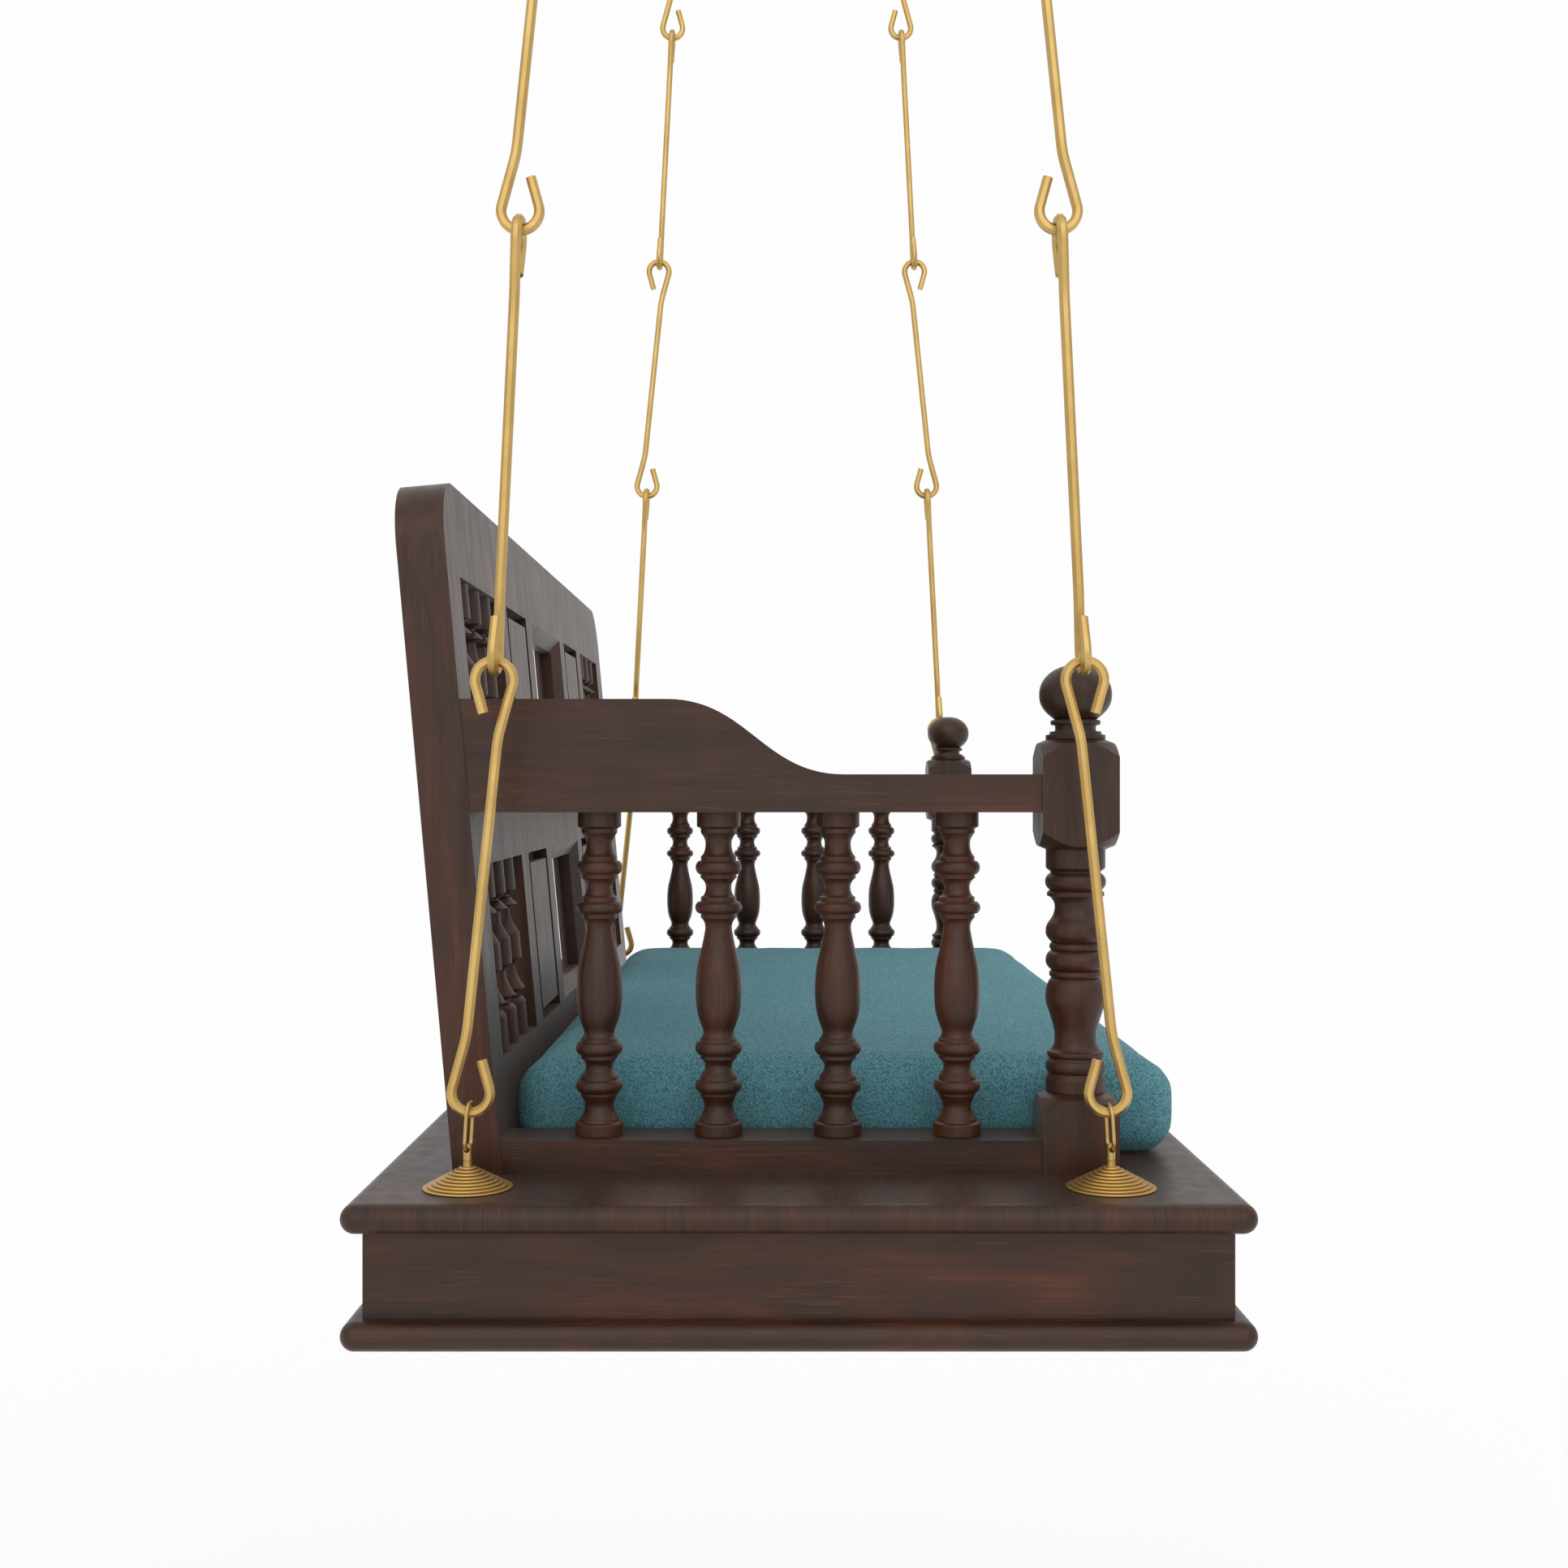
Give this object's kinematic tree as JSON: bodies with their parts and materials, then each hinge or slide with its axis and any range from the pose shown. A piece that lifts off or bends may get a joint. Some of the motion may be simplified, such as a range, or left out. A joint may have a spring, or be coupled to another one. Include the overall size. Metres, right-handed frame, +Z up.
{
  "type": "porch swing",
  "caption": "Wooden platform swing with turned side rails, a framed slatted back and a fabric mattress, hung on chains of hooked brass rods.",
  "frame": {"origin": "middle of the platform's underside", "axes": "+X along the seat to the right as seen from the front, -Y to the front where the sitter's legs are, +Y to the back rest, +Z up along the chains"},
  "size_m": [1.327, 0.61, 1.7381],
  "materials": {
    "dark_wood": "satin walnut-brown polish on solid hardwood",
    "satin_brass": "satin, lightly brushed",
    "plated_steel": "zinc plated",
    "teal_fabric": "teal woven boucle cover"
  },
  "bodies": {
    "ceiling_mounts": {"ceiling_plates": "satin_brass", "ceiling_stems": "satin_brass", "ceiling_rosettes": "satin_brass"},
    "top_ring_front_left": {"ring_link_top_front_left": "satin_brass"},
    "chain_front_left": {"chain_rods_front_left": "satin_brass"},
    "bottom_ring_front_left": {"ring_link_bottom_front_left": "satin_brass"},
    "top_ring_front_right": {"ring_link_top_front_right": "satin_brass"},
    "chain_front_right": {"chain_rods_front_right": "satin_brass"},
    "bottom_ring_front_right": {"ring_link_bottom_front_right": "satin_brass"},
    "top_ring_back_left": {"ring_link_top_back_left": "satin_brass"},
    "chain_back_left": {"chain_rods_back_left": "satin_brass"},
    "bottom_ring_back_left": {"ring_link_bottom_back_left": "satin_brass"},
    "top_ring_back_right": {"ring_link_top_back_right": "satin_brass"},
    "chain_back_right": {"chain_rods_back_right": "satin_brass"},
    "bottom_ring_back_right": {"ring_link_bottom_back_right": "satin_brass"},
    "seat": {"apron_back": "dark_wood", "apron_front": "dark_wood", "apron_left": "dark_wood", "apron_right": "dark_wood", "arm_left": "dark_wood", "arm_right": "dark_wood", "back_bottom_rail": "dark_wood", "back_middle_rail": "dark_wood", "back_muntins_lower": "dark_wood", "back_muntins_upper": "dark_wood", "back_panel_lower_left": "dark_wood", "back_panel_lower_right": "dark_wood", "back_panel_upper_left": "dark_wood", "back_panel_upper_right": "dark_wood", "back_spindles_lower": "dark_wood", "back_spindles_upper": "dark_wood", "back_stile_left": "dark_wood", "back_stile_right": "dark_wood", "back_top_rail": "dark_wood", "baluster_left_1": "dark_wood", "baluster_left_2": "dark_wood", "baluster_left_3": "dark_wood", "baluster_left_4": "dark_wood", "baluster_right_1": "dark_wood", "baluster_right_2": "dark_wood", "baluster_right_3": "dark_wood", "baluster_right_4": "dark_wood", "finial_left": "dark_wood", "finial_right": "dark_wood", "front_post_left": "dark_wood", "front_post_right": "dark_wood", "mattress": "teal_fabric", "platform_bottom_board": "dark_wood", "platform_corner_blocks": "dark_wood", "platform_cross_rails": "dark_wood", "platform_top_board": "dark_wood", "seat_eye_bolts": "satin_brass", "seat_nuts_and_washers": "plated_steel", "seat_rosettes": "satin_brass", "sill_left": "dark_wood", "sill_right": "dark_wood", "window_frame_lower": "dark_wood", "window_frame_upper": "dark_wood", "window_slot_boards": "dark_wood"}
  },
  "joints": [
    {"name": "swing", "type": "hinge", "parent": "ceiling_mounts", "child": "top_ring_front_left", "pos_m": [-0.6048, -0.12729, 1.70532], "axis": [1, 0, 0], "range_deg": [-15, 15]},
    {"name": "sway", "type": "hinge", "parent": "top_ring_front_left", "child": "chain_front_left", "pos_m": [-0.6048, -0.12892, 1.67617], "axis": [0, 1, 0], "range_deg": [-3, 3]},
    {"name": "ring_sway", "type": "hinge", "parent": "chain_front_left", "child": "bottom_ring_front_left", "pos_m": [-0.6048, -0.21417, 0.15395], "axis": [0, 1, 0], "range_deg": [-3, 3]},
    {"name": "seat_level", "type": "hinge", "parent": "bottom_ring_front_left", "child": "seat", "pos_m": [-0.6048, -0.2158, 0.1248], "axis": [1, 0, 0], "range_deg": [-9.5, 9.5]},
    {"name": "swing_front_right", "type": "hinge", "parent": "ceiling_mounts", "child": "top_ring_front_right", "pos_m": [0.6048, -0.12729, 1.70532], "axis": [1, 0, 0], "range_deg": [-15, 15]},
    {"name": "sway_front_right", "type": "hinge", "parent": "top_ring_front_right", "child": "chain_front_right", "pos_m": [0.6048, -0.12892, 1.67617], "axis": [0, 1, 0], "range_deg": [-3, 3]},
    {"name": "ring_level_front_right", "type": "hinge", "parent": "seat", "child": "bottom_ring_front_right", "pos_m": [0.6048, -0.2158, 0.1248], "axis": [1, 0, 0], "range_deg": [-9.5, 9.5]},
    {"name": "swing_back_left", "type": "hinge", "parent": "ceiling_mounts", "child": "top_ring_back_left", "pos_m": [-0.6048, 0.13969, 1.70532], "axis": [1, 0, 0], "range_deg": [-15, 15]},
    {"name": "sway_back_left", "type": "hinge", "parent": "top_ring_back_left", "child": "chain_back_left", "pos_m": [-0.6048, 0.14132, 1.67617], "axis": [0, 1, 0], "range_deg": [-3, 3]},
    {"name": "ring_level_back_left", "type": "hinge", "parent": "seat", "child": "bottom_ring_back_left", "pos_m": [-0.6048, 0.2282, 0.1248], "axis": [1, 0, 0], "range_deg": [-9.5, 9.5]},
    {"name": "swing_back_right", "type": "hinge", "parent": "ceiling_mounts", "child": "top_ring_back_right", "pos_m": [0.6048, 0.13969, 1.70532], "axis": [1, 0, 0], "range_deg": [-15, 15]},
    {"name": "sway_back_right", "type": "hinge", "parent": "top_ring_back_right", "child": "chain_back_right", "pos_m": [0.6048, 0.14132, 1.67617], "axis": [0, 1, 0], "range_deg": [-3, 3]},
    {"name": "ring_level_back_right", "type": "hinge", "parent": "seat", "child": "bottom_ring_back_right", "pos_m": [0.6048, 0.2282, 0.1248], "axis": [1, 0, 0], "range_deg": [-9.5, 9.5]}
  ],
  "couplings": [
    {"joint": "ring_sway", "follows": "sway", "ratio": -1},
    {"joint": "seat_level", "follows": "swing", "ratio": -0.599},
    {"joint": "swing_front_right", "follows": "swing", "ratio": 1},
    {"joint": "sway_front_right", "follows": "sway", "ratio": 1},
    {"joint": "ring_level_front_right", "follows": "swing", "ratio": 0.599},
    {"joint": "swing_back_left", "follows": "swing", "ratio": 1},
    {"joint": "sway_back_left", "follows": "sway", "ratio": 1},
    {"joint": "ring_level_back_left", "follows": "swing", "ratio": 0.599},
    {"joint": "swing_back_right", "follows": "swing", "ratio": 1},
    {"joint": "sway_back_right", "follows": "sway", "ratio": 1},
    {"joint": "ring_level_back_right", "follows": "swing", "ratio": 0.599}
  ]
}
